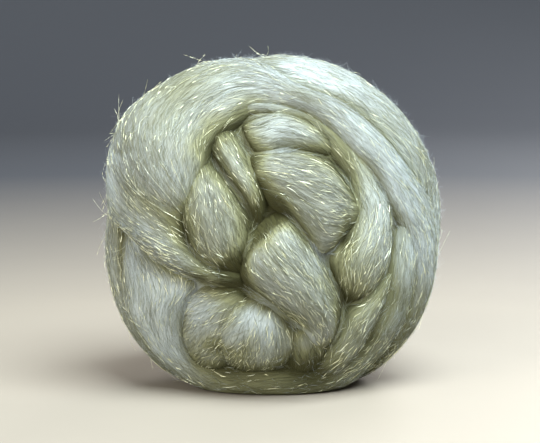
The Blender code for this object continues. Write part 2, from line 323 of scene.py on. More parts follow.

# Places painted paler, darker or more golden than around them, partly for the wool's blend and partly as
# painted light and painted shade: clock and polar angle as in a turn's rows, reach in mm, then what is added
# to the tone and to the crease there.
PATCHES = (
    (167, 33, 8, -0.10, 0.30),
    (-172, 25, 5, -0.10, -0.10),
    (-147, 16, 6, -0.40, 0.70),
    (-161, 28, 4, -0.20, 0.35),
    (88, 14, 5, -0.50, 0.80),
    (-114, 39, 6, -0.10, 0.22),
    (-99, 23, 8, 0.06, -0.42),
    (-121, 36, 5, 0.10, -0.30),
    (-119, 46, 5, 0.10, -0.30),
    (-70, 35, 6, 0.10, -0.35),
    (-148, 37, 8, 0.20, -0.80),
    (108, 42, 4, 0.00, -0.25),
    (96, 49, 6, 0.00, -0.25),
    (129, 7, 4, -0.20, 0.35),
    (-121, 43, 4, -0.25, 0.40),
    (24, 82, 10, -0.30, 0.00),
    (-58, 39, 6, 0.05, -0.25),
    (-95, 46, 9, 0.00, -0.20),
    (-161, 52, 12, -0.05, -0.32),
    (-136, 44, 6, 0.08, -0.05),
    (-30, 28, 5, 0.00, -0.20),
    (-8, 19, 6, 0.10, -0.50),
    (101, 29, 3.5, -0.25, 0.40),
    (98, 22, 3.5, -0.25, 0.50),
    (17, 28, 3, -0.10, 0.35),
    (4, 27, 3, -0.10, 0.30),
    (82, 33, 8, 0.00, -0.45),
    (50, 54, 8, 0.25, -0.25),
    (24, 56, 12, 0.50, -0.30),
    (-3, 62, 14, 0.42, -0.30),
    (80, 68, 16, 0.32, -0.25),
    (144, 78, 9, -0.15, -0.10),
    (178, 60, 12, 0.05, -0.18),
    (-178, 63, 6, 0.10, -0.50),
    (-140, 60, 12, 0.22, -0.52),
    (-95, 64, 15, -0.42, 0.15),
    (-72, 55, 9, -0.30, 0.32),
    (118, 47, 5, -0.38, 0.30),
    (127, 42, 4, -0.20, 0.25),
    (161, 75, 9, 0.70, -0.45),
)

# The combed wool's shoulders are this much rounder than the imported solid's.
SHOULDER = 0.9
# Samples of a turn's scales of distance, from row to row and round a section.
ROW_SAMPLES = 12
RING_SAMPLES = 96

# The front chart and the back chart: degrees from the pole to the edge, and to a cell, how finely the turns
# fill them in metres, and how many cells each smoothing reaches.
CHART_REACH = 100.0
CHART_CELL = 0.5
CHART_SIDE = int(2 * CHART_REACH / CHART_CELL) + 1
CHART_STEP = 0.0004
FINE_BLUR = 0.7
NEAR_BLUR = 3.5
FAR_BLUR = 12.0
HOLLOW_BLUR = 6.5
GRAIN_BLUR = 3.0

# Cells each way of the lattice that noise is drawn on.
LATTICE = 512
# The relief of combed fibre: height in mm, and the size of its noise in metres, along a turn and across it.
# The splits follow the lines where their noise is zero, more closely the higher the power of their fall.
Layer = collections.namedtuple("Layer", "height along across")
RELIEF = {
    "lumps": Layer(0.45, 0.034, 0.0085),
    "locks": Layer(0.06, 0.022, 0.0028),
    "ridges": Layer(0.02, 0.012, 0.0012),
    "splits": Layer(-0.70, 0.045, 0.0090),
}
SPLIT_POWER = 14
# The random draws of a turn's relief start at this times the turn's number.
RELIEF_SEED = 31
# How much each cause adds to a crease, which paints shade by darkening the wool to gold and olive: lying
# below the surface as smoothed near by and far off, a hollow, lying below the ellipsoid and facing down are
# painted shade, and wool that holds more gold is the wool's own colour.
CREASE_WEIGHTS = {"near": 0.25, "far": 0.40, "hollow": 0.70, "recess": 0.40, "under": 0.50, "gold": 0.25}

# How high the lowest points of the wool lie above the surface below.
FLOOR_GAP = 0.0002
# How far the wool that fills the creases lies below the smoothed surface.
FILL_DEPTH = 0.0010
# Points round the under side of a section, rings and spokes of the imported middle, and a map's bare edge.
UNDER_STEPS = 8
MIDDLE_RINGS = 100
MIDDLE_SPOKES = 200
MAP_EDGE = 0.01
# The size of the cells that roots are drawn in, and how deep a place may lie and still count as open.
CELL_SIZE = 0.0009
COVER = 0.0008

# Paths that lie on the surface: where their random draws start, their points, and how far they usually stray
# from their turn's own line as shares of their length: by drift from end to end, by sway in the middle.
Laid = collections.namedtuple("Laid", "seed steps drift sway")
FIBRES = Laid(seed=11, steps=4, drift=0.17, sway=0.05)
GLINTS = Laid(seed=12, steps=4, drift=0.28, sway=0.05)
RUNS = Laid(seed=13, steps=26, drift=0.16, sway=0.06)
# Paths that stand off it: the same, and how far they rise as a share of their length.
Loose = collections.namedtuple("Loose", "seed steps rise")
STRAYS = Loose(seed=14, steps=12, rise=0.60)
HAZE = Loose(seed=15, steps=3, rise=0.42)
# Sides of a spindle, and how many pieces the fibres are shared out over.
SPINDLE_SIDES = 3
FIBRE_PIECES = 4
# How near to the edges of a section's outer side a path may lie, in radians.
SIDE_LIMIT = 0.02
# The fibres in the creases: how far from the front and the back pole they may lie, in degrees, places tried
# for each fibre wanted, and how clear a crease's bearing has to be.
CREASE_REACH = (90.0, 88.0)
CREASE_TRIES = 40
CREASE_CLEAR = 0.15
# Glints: usual length in mm, its spread, the shortest and longest, and how a glint's four points are lifted
# by two random draws, which tilt it from end to end or raise both ends.
GLINT_LENGTH = 2.7
GLINT_SPREAD = 0.45
GLINT_LIMITS = (1.0, 7.0)
LEAN = np.array([[-1.0, -0.33, 0.33, 1.0], [1.0, 0.0, 0.0, 1.0]])
# The long runs' shortest and longest length in mm, and the stray ends' usual length in metres.
RUN_LIMITS = (12, 34)
STRAY_LENGTH = 0.0055
# A flat filament's thickness as a share of its width, and how far it goes for one turn of its twist.
GLINT_FLAT = 0.45
FILAMENT_FLAT = 0.25
RUN_PITCH = 0.0055
STRAY_PITCH = 0.0045

# The point that the camera looks at, before the shift to the node's box, the width of the picture there, and
# the camera's sensor in mm.
AIM = (-0.0009, 0.0, 0.058)
PICTURE_WIDTH = 0.1929
SENSOR = 36.0
# The lamps: where each stands, its side in metres, its power in watts and its colour. All aim at one point.
Lamp = collections.namedtuple("Lamp", "place side power colour")
LAMPS = {
    "light_above": Lamp((0.22, -0.36, 0.80), 0.60, 22.8, (0.85, 0.955, 1.0)),
    "light_front": Lamp((-0.8, -0.9, 0.45), 0.55, 11.0, (1.0, 0.97, 0.90)),
    "light_back": Lamp((0.5, 1.0, 0.60), 0.60, 8.0, (1.0, 0.98, 0.95)),
}
LAMP_AIM = (0.0, 0.0, 0.05)
SKY_COLOUR = (1.0, 0.985, 0.95)
SKY_STRENGTH = 0.32
# The floor: radii of its first ring and of its flat part, the radius of its bend, and the height of its rim.
FLOOR_MIDDLE = 0.05
FLOOR_FLAT = 1.1
FLOOR_BEND = 0.4
FLOOR_RIM = 0.6


# -------------------- places on the turns --------------------

# A turn's table as numbers, with its two scales: distance along its top for 'at', and round a section for
# 'angle'.
Turn = collections.namedtuple("Turn", "number strand closed squareness rows spans at along angle around")


def unit(vectors):
    """The vectors at length one."""
    return vectors / np.maximum(np.linalg.norm(vectors, axis=-1, keepdims=True), 1e-12)


def dot(a, b):
    """The scalar product of vectors, pair by pair."""
    return np.einsum("...i,...i->...", a, b)


def eased(share):
    """A share from 0 to 1, slower at both ends."""
    return share * share * (3 - 2 * share)


def stacked(found):
    """Rows of arrays found one after another, joined column by column."""
    return [np.concatenate(column) for column in zip(*found)]


def direction(clock, polar):
    """Unit vectors for clock and polar angles in degrees."""
    clock, polar = np.broadcast_arrays(np.radians(clock), np.radians(polar))
    return np.stack([np.sin(polar) * np.cos(clock), -np.cos(polar), np.sin(polar) * np.sin(clock)], axis=-1)


def outward(toward):
    """The nominal ellipsoid's own normal where a direction from its centre meets it."""
    return unit(toward / HALF)


def nominal(toward, height):
    """Points at a height above the nominal ellipsoid, along its own normal."""
    return CENTRE + toward * HALF + outward(toward) * np.asarray(height)[..., None]


def spline_at(rows, closed, at):
    """A Catmull-Rom curve through the rows, read at any places along it."""
    if closed:
        first = np.floor(at).astype(int)
        picks = [rows[(first + k) % len(rows)] for k in (-1, 0, 1, 2)]
    else:
        padded = np.vstack([2 * rows[:1] - rows[1:2], rows, 2 * rows[-1:] - rows[-2:-1]])
        first = np.clip(np.floor(at).astype(int), 0, len(rows) - 2)
        picks = [padded[first + k] for k in range(4)]
    t = (at - first)[..., None]
    before, here, there, after = picks
    return 0.5 * (
        2 * here
        + (there - before) * t
        + (2 * before - 5 * here + 4 * there - after) * t**2
        + (3 * here - before - 3 * there + after) * t**3
    )


def rounded(wave, squareness):
    """A sine or cosine turned into a superellipse's: its sign times its size to the power 2 / squareness."""
    return np.sign(wave) * np.abs(wave) ** (2 / squareness)


def skin(turn, at, angle):
    """Direction and height of places on a turn: a superellipse from edge a to edge b, its top the crest."""
    across = (1 + rounded(np.cos(angle), turn.squareness)) / 2
    rows = spline_at(turn.rows, turn.closed, at)
    edge_a, edge_b = unit(rows[..., 0:3]), unit(rows[..., 3:6])
    toward = unit(edge_a * (1 - across)[..., None] + edge_b * across[..., None])
    half_thick = np.maximum(rows[..., 6], 2 * MM) / 2
    return toward, rows[..., 7] - half_thick + half_thick * rounded(np.sin(angle), turn.squareness)


def skin_grid(turn):
    """Points of a turn's surface at the places that its scales hold."""
    return nominal(*skin(turn, turn.at[:, None], turn.angle[None, :]))


def steps_between(points, axis=0):
    """Distances between neighbours along an axis."""
    return np.linalg.norm(np.diff(points, axis=axis), axis=-1)


@functools.lru_cache(maxsize=None)
def turns():
    """The tables as numbers, each with its scales of distance."""
    made = []
    for number, strand in enumerate(STRANDS):
        table = np.array(strand.sections, float)
        rows = np.hstack([direction(*table[:, 0:2].T), direction(*table[:, 2:4].T), table[:, 4:] * MM])
        squareness = strand.squareness * SHOULDER
        spans = len(rows) if strand.closed else len(rows) - 1
        at = np.linspace(0, spans, ROW_SAMPLES * spans + 1)
        angle = np.linspace(0, 2 * np.pi, RING_SAMPLES + 1)
        turn = Turn(number, strand, strand.closed, squareness, rows, spans, at, None, angle, None)
        grid = skin_grid(turn)
        along = np.concatenate([[0], np.cumsum(steps_between(grid[:, RING_SAMPLES // 4]))])
        around = np.concatenate([[0], np.cumsum(steps_between(grid.swapaxes(0, 1)).mean(axis=1))])
        made.append(turn._replace(along=along, around=around))
    return made


def along_of(turn, at):
    """Distance along a turn's top, which goes on counting where a closed turn comes round again."""
    laps = np.floor(at / turn.spans) if turn.closed else 0
    return laps * turn.along[-1] + np.interp(at - laps * turn.spans, turn.at, turn.along)


@functools.lru_cache(maxsize=None)
def shift():
    """From the nominal ellipsoid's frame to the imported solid's: what centres the turns in the node's box."""
    own = np.vstack([skin_grid(turn).reshape(-1, 3) for turn in turns()])
    low, high = np.array(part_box(NODE))
    middle = (low + high) / 2 - (own.min(axis=0) + own.max(axis=0)) / 2
    return np.array([middle[0], middle[1], 0.0])


# -------------------- relief and creases --------------------


def between_cells(grid, i, j, a, b):
    """A grid's values between two rows i and two columns j, at the shares a and b of the way."""
    rows = [grid[k, j[0]] * (1 - b) + grid[k, j[1]] * b for k in i]
    return rows[0] * (1 - a) + rows[1] * a


def noise(along, across, seed, wrap=0):
    """Smooth noise from -1 to 1: random heights on a lattice of unit cells, eased from each to the next."""
    lattice = np.random.default_rng(seed).uniform(-1, 1, (LATTICE, LATTICE))
    i, j = np.floor(along).astype(int), np.floor(across).astype(int)
    a, b = eased(along - i), eased(across - j)
    after = i + 1
    if wrap:
        i, after = i % wrap, after % wrap
    return between_cells(lattice, (i % LATTICE, after % LATTICE), (j % LATTICE, (j + 1) % LATTICE), a, b)


def gathered(turn, at):
    """How far a place along a turn has left the turn's own line for the gathered direction, from 0 to 1."""
    gather = turn.strand.gather
    if gather is None:
        return np.zeros(np.shape(at))
    return eased(np.clip((at - gather.first) / (gather.last - gather.first), 0, 1))


def combed(turn, at, angle, long_cell, wide_cell, seed):
    """That noise on a turn's own surface, drawn out along its fibres, in cells of the sizes given.

    Where the turn is gathered, it is drawn out along the spokes of the fan instead: distance from the fan's
    middle, and bearing round it.
    """
    cells = max(1, round(turn.along[-1] / long_cell))
    along = along_of(turn, at) / turn.along[-1] * cells
    across = np.interp(angle % (2 * np.pi), turn.angle, turn.around) / wide_cell
    value = noise(along, across, seed, cells if turn.closed else 0)
    gather = turn.strand.gather
    if gather is None:
        return value
    away = skin(turn, at, angle)[0] - direction(gather.clock, gather.polar)
    distance = np.linalg.norm(away, axis=-1) * HALF_WIDTH
    bearing = np.arctan2(away[..., 2], -away[..., 0]) * GATHER_RADIUS
    share = gathered(turn, at)
    return value * (1 - share) + noise(distance / long_cell, bearing / wide_cell, seed) * share


def relief(turn, at, angle):
    """Height of the lumps, locks, ridges and splits of combed fibre, which fade out under the turn.

    Each is its height times noise from -1 to 1, or for the splits times a power of (1 - the noise's size).
    """
    height = 0
    for number, (name, layer) in enumerate(RELIEF.items()):
        wave = combed(turn, at, angle, layer.along, layer.across, RELIEF_SEED * turn.number + number)
        if name == "splits":
            wave = (1 - np.abs(wave)) ** SPLIT_POWER
        height = height + layer.height * wave
    outer = np.clip(0.3 + 2 * np.sin(angle), 0, 1)
    return outer * height * MM


def chart_place(toward, back):
    """The cells where directions lie on the front or back chart: out by degrees, at their clock angle."""
    polar = np.degrees(np.arccos(np.clip(toward[..., 1] if back else -toward[..., 1], -1, 1)))
    flat = toward[..., [0, 2]]
    spoke = flat / np.maximum(np.linalg.norm(flat, axis=-1, keepdims=True), 1e-9)
    return (spoke * polar[..., None] + CHART_REACH) / CHART_CELL


def chart_direction(place, back):
    """The directions at places on the front or back chart, in degrees from its middle."""
    polar = np.linalg.norm(place, axis=-1)
    clock = np.degrees(np.arctan2(place[..., 1], place[..., 0]))
    return direction(clock, 180 - polar if back else polar)


def read_chart(name, toward):
    """The value that the charts of that name hold for each direction, eased between their cells."""
    found = np.zeros(toward.shape[:-1])
    for back, side in enumerate(charts()[name]):
        here = (toward[..., 1] > 0) == bool(back)
        place = np.clip(chart_place(toward[here], back), 0, CHART_SIDE - 1.001)
        i, j = np.floor(place).astype(int).T
        a, b = (place % 1).T
        found[here] = between_cells(side, (i, i + 1), (j, j + 1), a, b)
    return found


def blurred(chart, cells):
    """A chart smoothed by a bell curve that many cells wide."""
    reach = int(3 * cells)
    bell = np.exp(-0.5 * (np.arange(-reach, reach + 1) / cells) ** 2)
    bell /= bell.sum()
    for axis in (1, 2):
        edges = [(reach, reach) if axis == k else (0, 0) for k in (0, 1, 2)]
        padded = np.pad(chart, edges, mode="edge")
        spots = np.arange(chart.shape[axis])
        chart = sum(weight * padded.take(spots + k, axis) for k, weight in enumerate(bell))
    return chart


@functools.lru_cache(maxsize=None)
def charts():
    """The nest's outermost height in every direction, smoothed over three distances, and its hollows."""
    top = np.full((2, CHART_SIDE, CHART_SIDE), CORE_HEIGHT)
    for turn in turns():
        at = np.linspace(0, turn.spans, int(turn.along[-1] / CHART_STEP))
        angle = np.interp(np.arange(0, turn.around[-1] / 2, CHART_STEP), turn.around, turn.angle)
        toward, height = skin(turn, at[:, None], angle[None, :])
        for back in (0, 1):
            place = np.round(chart_place(toward, back)).astype(int)
            inside = ((place >= 0) & (place < CHART_SIDE)).all(axis=-1)
            i, j = place[inside].T
            np.maximum.at(top[back], (i, j), height[inside])
    fine = blurred(top, FINE_BLUR)
    far = blurred(fine, FAR_BLUR)
    hollow = blurred(np.clip((far - fine) / (5 * MM), 0, 1), HOLLOW_BLUR)
    return {"fine": fine, "near": blurred(fine, NEAR_BLUR), "far": far, "hollow": hollow}


def patched(toward):
    """What the patches add to tone and crease in each direction, a bell curve round each patch's middle."""
    paler, deeper = np.zeros(toward.shape[:-1]), np.zeros(toward.shape[:-1])
    for clock, polar, reach, tone, crease in PATCHES:
        away = np.linalg.norm((toward - direction(clock, polar)) * HALF_WIDTH, axis=-1) / (reach * MM)
        share = np.exp(-(away**2))
        paler, deeper = paler + tone * share, deeper + crease * share
    return paler, deeper


def looks_at(turn, at, angle):
    """Tone and crease of places on a turn.

    Tone runs from 0, dark fibre, to 1, pale fibre, and holds painted light and shade besides the blend.
    Crease is mostly painted shade, with the wool's own gold where it holds more filament: 0 on the open
    surface, 0.5 where it is painted gold, and 1 deep between turns, painted olive.
    """
    toward, height = skin(turn, at, angle)
    causes = {
        "near": (read_chart("near", toward) - height) / (1.8 * MM),
        "far": (read_chart("far", toward) - height + 0.8 * MM) / (6.5 * MM),
        "hollow": read_chart("hollow", toward),
        "recess": (-0.5 * MM - height) / (6 * MM),
        "under": -outward(toward)[..., 2],
        "gold": combed(turn, at, angle, 0.024, 0.0060, RELIEF_SEED * turn.number + 8),
    }
    lock = combed(turn, at, angle, 0.016, 0.0008, RELIEF_SEED * turn.number + 7)
    # Painted shade: the crease darkens the wool in creases, hollows and recesses and on its under side; the
    # gold cause is the wool's own colour.
    crease = sum(CREASE_WEIGHTS[name] * np.clip(cause, 0, 1) for name, cause in causes.items())
    paler, deeper = patched(toward)
    # The turn's offset and the patches paint light and shade into the tone, besides the wool's blend.
    tone = 0.5 + 0.07 * lock + turn.strand.blend + paler
    return np.clip(tone, 0, 1), np.clip(crease + deeper, 0, 1)


def filled(toward):
    """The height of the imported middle, which fills the creases: a little below the smoothed surface.

    It lies less far below where a patch lightens a crease, and up to 3 mm further where one deepens it, but
    never below the core.
    """
    _, deeper = patched(toward)
    sunk = FILL_DEPTH * (1 - np.clip(-0.8 * deeper, 0, 0.4)) + 3 * MM * np.clip(2 * deeper - 0.4, 0, 1)
    return np.maximum(read_chart("near", toward) - sunk, CORE_HEIGHT)


def placed(toward, height, gap=FLOOR_GAP):
    """Points of the finished nest: above the ellipsoid, moved with the node's box, kept off the floor."""
    points = nominal(toward, height) + shift()
    points[..., 2] = np.maximum(points[..., 2], gap)
    return points


def above_floor(paths, gaps):
    """Which paths lie above the floor all along, by that many times the gap kept there."""
    return (paths[..., 2] > gaps * FLOOR_GAP).all(axis=1)


# -------------------- meshes --------------------


def linked(name, data):
    """A new object in the scene."""
    made = bpy.data.objects.new(name, data)
    bpy.context.scene.collection.objects.link(made)
    return made


def corners_of(faces):
    """The points of all faces, one after another, from lists of faces of like size."""
    return np.concatenate([group.ravel() for group in faces])


def new_piece(name, points, faces, corner_maps, point_values, material, smooth=True):
    """A mesh object from arrays: points, lists of faces of like size, maps by corner and values by point."""
    mesh = bpy.data.meshes.new(name)
    mesh.vertices.add(len(points))
    mesh.vertices.foreach_set("co", points.astype(np.float32).ravel())
    corners = corners_of(faces)
    sizes = np.concatenate([np.full(len(group), group.shape[1]) for group in faces])
    mesh.loops.add(len(corners))
    mesh.loops.foreach_set("vertex_index", corners.astype(np.int32))
    mesh.polygons.add(len(sizes))
    mesh.polygons.foreach_set("loop_start", (np.cumsum(sizes) - sizes).astype(np.int32))
    mesh.polygons.foreach_set("use_smooth", np.full(len(sizes), smooth))
    for label, places in corner_maps.items():
        layer = mesh.uv_layers.new(name=label, do_init=False)
        layer.uv.foreach_set("vector", places.astype(np.float32).ravel())
    for label, values in point_values.items():
        attribute = mesh.attributes.new(label, "FLOAT", "POINT")
        attribute.data.foreach_set("value", values.astype(np.float32))
    mesh.update(calc_edges=True)
    mesh.validate()
    mesh.materials.append(material)
    piece = linked(name, mesh)
    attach(piece, BODY)
    return piece


def tube_faces(count, around, closed):
    """Quads of a grid whose rows are rings, and triangles from its end rings to the two points after it."""
    i = np.arange(count if closed else count - 1)[:, None]
    j = np.arange(around)[None, :]
    here, there = i * around, (i + 1) % count * around
    k = (j + 1) % around
    quads = np.stack([here + j, there + j, there + k, here + k], axis=-1).reshape(-1, 4)
    if closed:
        return [quads]
    j, k = j.ravel(), k.ravel()
    last = (count - 1) * around
    first_cap = np.stack([j, k, np.full(around, count * around)], axis=-1)
    last_cap = np.stack([last + k, last + j, np.full(around, count * around + 1)], axis=-1)
    return [quads, np.concatenate([first_cap, last_cap])]


def volume_of(points, quads):
    """Six times the volume that the quads close, which is negative where they point inwards."""
    a, b, c, d = (points[corners] for corners in quads.T)
    return dot(a, np.cross(b, c) + np.cross(c, d)).sum()


def even_places(distances, places, step):
    """Places along a scale of distances, about that step apart."""
    count = max(2, round(distances[-1] / step))
    return np.interp(np.linspace(distances[0], distances[-1], count + 1), distances, places)


def outer_angles(turn, step):
    """Angles over the outer half of a turn's section, about that step apart."""
    half = RING_SAMPLES // 2 + 1
    return even_places(turn.around[:half], turn.angle[:half], step)


def surface_piece(name, points, closed, along, around, looks, material):
    """A closed tube over a grid of points, with a map in metres and one from 0 to 1.

    'along' and 'around' are the map's metres, one longer than the grid where it closes on itself. Looks are
    the tone and crease of each point, and the two points added at the ends lie deep in the wool. Where the
    faces would point inwards, the grid is laid the other way round.
    """
    count, ring = points.shape[:2]
    faces = tube_faces(count, ring, closed)
    if volume_of(points.reshape(-1, 3), faces[0]) < 0:
        looks = [value[:, ::-1] for value in looks]
        return surface_piece(name, points[:, ::-1], closed, along, around[::-1], looks, material)
    i, j = np.meshgrid(np.arange(count if closed else count - 1), np.arange(ring), indexing="ij")
    rows = np.stack([i, i + 1, i + 1, i], axis=-1).ravel()
    columns = np.stack([j, j, j + 1, j + 1], axis=-1).ravel()
    points = points.reshape(-1, 3)
    tone, crease = (np.broadcast_to(value, (count, ring)).ravel() for value in looks)
    if not closed:
        points = np.vstack([points, points[:ring].mean(axis=0), points[-ring:].mean(axis=0)])
        # The two end points, deep in the wool, take the full painted shade.
        tone, crease = np.append(tone, [0.5, 0.5]), np.append(crease, [1.0, 1.0])
        rows = np.append(rows, np.repeat([0, count - 1], 3 * ring))
        columns = np.append(columns, np.zeros(6 * ring, int))
    metres = np.stack([along[rows], around[columns]], axis=-1)
    shares = np.stack([rows / rows.max(), columns / ring], axis=-1) * (1 - 2 * MAP_EDGE) + MAP_EDGE
    values = {"tone": tone, "crease": crease}
    return new_piece(name, points, faces, {"combed": metres, "OFBake": shares}, values, material)


def crossed(paths, out):
    """Unit vectors at right angles to the paths: sideways, and the other as near to outwards as can be."""
    tangent = unit(np.gradient(paths, axis=1))
    side = unit(np.cross(tangent, out))
    return side, np.cross(side, tangent)


def spindles(paths, up, radius, flat=1.0):
    """Slim closed tubes with a point at each end, one for each row of paths.

    A ring's points lie at radius times (cos a up + flat sin a side) from the path, side being tangent x up.
    """
    count, steps = paths.shape[:2]
    side, up = crossed(paths, up)
    sides = SPINDLE_SIDES
    a = (2 * np.pi * np.arange(sides) / sides)[:, None]
    ring = np.cos(a) * up[:, 1:-1, None] + flat * np.sin(a) * side[:, 1:-1, None]
    rings = paths[:, 1:-1, None] + radius[..., None, None] * ring
    points = np.concatenate([paths[:, :1], rings.reshape(count, -1, 3), paths[:, -1:]], axis=1)
    j = np.arange(sides)
    k = (j + 1) % sides
    last = 1 + (steps - 3) * sides
    here = 1 + np.arange(steps - 3)[:, None] * sides
    quads = np.stack([here + j, here + k, here + sides + k, here + sides + j], axis=-1).reshape(-1, 4)
    tips = np.concatenate([
        np.stack([0 * j, 1 + k, 1 + j], axis=-1),
        np.stack([last + j, last + k, 0 * j + last + sides], axis=-1),
    ])
    start = (np.arange(count) * points.shape[1])[:, None, None]
    return points, [(start + group).reshape(-1, group.shape[1]) for group in (quads, tips)]


def spindle_piece(name, made, tone, crease, material, smooth=True):
    """One mesh of many spindles, each with a cell of its own on the unit map and one tone and crease."""
    points, faces = made
    count, each = points.shape[:2]
    across = math.ceil(math.sqrt(count))
    cell = np.stack([np.arange(count) % across, np.arange(count) // across], axis=-1)[:, None]
    spot = np.stack([np.linspace(0.2, 0.8, each), 0.2 + 0.6 * (np.arange(each) % 3) / 2], axis=-1)
    places = ((cell + spot) / across).reshape(-1, 2)[corners_of(faces)]
    values = {"tone": np.repeat(tone, each), "crease": np.repeat(crease, each)}
    return new_piece(name, points.reshape(-1, 3), faces, {"OFBake": places}, values, material, smooth)


# -------------------- paths on the surface --------------------


@functools.lru_cache(maxsize=None)
def open_cells():
    """For each turn, the places of its cells of surface and the area of each that no other turn covers."""
    found = []
    for turn in turns():
        at, angle = even_places(turn.along, turn.at, CELL_SIZE), outer_angles(turn, CELL_SIZE)
        toward, height = skin(turn, at[:, None], angle[None, :])
        points = placed(toward, height)
        area = steps_between(points)[:, :-1] * steps_between(points, axis=1)[:-1]
        shows = (height > read_chart("fine", toward) - COVER) & (points[..., 2] > 3 * FLOOR_GAP)
        found.append((at, angle, area * shows[:-1, :-1]))
    return found


def roots(count, seed):
    """Random places, even over all the surface that shows: for each turn, 'at' and 'angle' of its own."""
    rng = np.random.default_rng(seed)
    sizes = np.array([area.sum() for _, _, area in open_cells()])
    shares = rng.multinomial(count, sizes / sizes.sum())
    for turn, (at, angle, area), share in zip(turns(), open_cells(), shares):
        if share > 0:
            cell = rng.choice(area.size, share, p=area.ravel() / area.sum())
            i, j = np.unravel_index(cell, area.shape)
            here = at[i] + (at[i + 1] - at[i]) * rng.random(share)
            there = angle[j] + (angle[j + 1] - angle[j]) * rng.random(share)
            yield turn, here, there


def frame_at(turn, at, angle):
    """At places on a turn: metres to a unit of 'at' and to a radian, unit vectors along, across and out."""
    small = 0.02  # half the step over which both slopes are measured
    ahead = nominal(*skin(turn, at + small, angle)) - nominal(*skin(turn, at - small, angle))
    beside = nominal(*skin(turn, at, angle + small)) - nominal(*skin(turn, at, angle - small))
    out = unit(np.cross(ahead, beside))
    out *= np.sign(dot(out, outward(skin(turn, at, angle)[0])))[..., None]
    speed, width = (np.linalg.norm(v, axis=-1) / (2 * small) for v in (ahead, beside))
    # Neither gets so small that a path would run far along the turn.
    return np.maximum(speed, 1e-3), np.maximum(width, 4e-3), unit(ahead), unit(beside), out


def heading(turn, at, angle):
    """The fibres' direction at places on a turn: metres along it and across it for each metre of fibre."""
    gather = turn.strand.gather
    if gather is None:
        return np.ones(len(at)), np.zeros(len(at))
    *_, ahead, beside, out = frame_at(turn, at, angle)
    aim = nominal(direction(gather.clock, gather.polar), 0.0) - nominal(*skin(turn, at, angle))
    aim = unit(aim - dot(aim, out)[:, None] * out)
    share = gathered(turn, at)[:, None]
    way = unit(ahead * (1 - share) + aim * share)
    # The unit vectors along and across a turn aren't quite at right angles.
    skew = dot(ahead, beside)
    along, across = dot(way, ahead), dot(way, beside)
    square = np.maximum(1 - skew**2, 0.2)
    return (along - skew * across) / square, (across - skew * along) / square


def follow(turn, at, angle, length, drift, sway, lift):
    """Paths that follow a turn's fibres through the places given, lift above it at each step.

    Sideways they move by drift, evenly from end to end, and by sway, as half a wave. The last of the arrays
    tells which paths are whole: on the turn from end to end, and above the floor.
    """
    t = np.linspace(-1, 1, lift.shape[1])[None, :]
    speed, width, *_ = frame_at(turn, at, angle)
    along, across = heading(turn, at, angle)
    ats = at[:, None] + t * (along * length / speed / 2)[:, None]
    aside = (across * length + drift)[:, None] * t / 2 + sway[:, None] * np.cos(np.pi * t / 2)
    angles = np.clip(angle[:, None] + aside / width[:, None], SIDE_LIMIT, np.pi - SIDE_LIMIT)
    toward, height = skin(turn, ats, angles)
    points = placed(toward, height + relief(turn, ats, angles) + lift)
    whole = above_floor(points, 2)
    if not turn.closed:
        whole &= (ats.min(axis=1) > 0) & (ats.max(axis=1) < turn.spans)
    return points, outward(toward), whole


@functools.lru_cache(maxsize=None)
def grain():
    """The bearing of the creases in each cell of the charts, and from 0 to 1 how clear it is.

    It is at right angles to the slope that is strongest near by. With xx, yy and xy the products of the
    slopes, (xx - yy) and 2 xy are the cosine and sine of twice that slope's bearing, times how clear it is,
    times (xx + yy).
    """
    rise_x, rise_y = np.gradient(charts()["near"], axis=(1, 2))
    xx, yy, xy = (blurred(product, GRAIN_BLUR) for product in (rise_x**2, rise_y**2, rise_x * rise_y))
    return np.arctan2(2 * xy, xx - yy) / 2 + np.pi / 2, np.hypot(2 * xy, xx - yy) / (xx + yy + 1e-12)


def crease_paths(count, length, rng):
    """Paths along the creases, on the wool that fills them: points, outward vectors and painted shade.

    In a hole that is filled only as high as the core there is no such bearing, and they run in rings.
    """
    found = []
    for back, reach in enumerate(CREASE_REACH):
        place = rng.uniform(-reach, reach, (CREASE_TRIES * count, 2))
        toward = chart_direction(place, back)
        shows = filled(toward) > read_chart("fine", toward) - 0.1 * MM
        shows &= np.linalg.norm(place, axis=-1) < reach
        place = place[shows][:count // 2]
        i, j = np.round((place + CHART_REACH) / CHART_CELL).astype(int).T
        bearing, clear = (chart[back][i, j] for chart in grain())
        hole = filled(chart_direction(place, back)) <= CORE_HEIGHT
        bearing = np.where(hole, np.arctan2(place[:, 0], -place[:, 1]), bearing)
        certain = hole | (clear > CREASE_CLEAR)
        place, bearing = place[certain], bearing[certain]
        bearing = bearing + rng.normal(0, 0.22, len(place))
        t = np.linspace(-0.5, 0.5, FIBRES.steps)[None, :]
        span = np.degrees(length * rng.uniform(0.5, 1.4, len(place)) / HALF_WIDTH)[:, None] * t
        way = np.stack([np.cos(bearing), np.sin(bearing)], axis=-1)
        toward = chart_direction(place[:, None] + span[..., None] * way[:, None], back)
        level = np.maximum(filled(toward), read_chart("fine", toward))
        lift = rng.uniform(0.05, 0.5, (len(place), 1)) - 0.4 * (2 * t) ** 4
        points = placed(toward, level + lift * MM)
        start = toward[:, 0]
        hole = filled(start) < CORE_HEIGHT + 1 * MM
        # Painted shade: darker in the hollows, and darker still in a hole filled only as high as the core.
        crease = 0.2 + 0.65 * read_chart("hollow", start) + patched(start)[1] + 0.35 * hole
        kept = above_floor(points, 2)
        found.append((points[kept], outward(toward)[kept], np.clip(crease, 0, 1)[kept]))
    return stacked(found)


# -------------------- materials --------------------


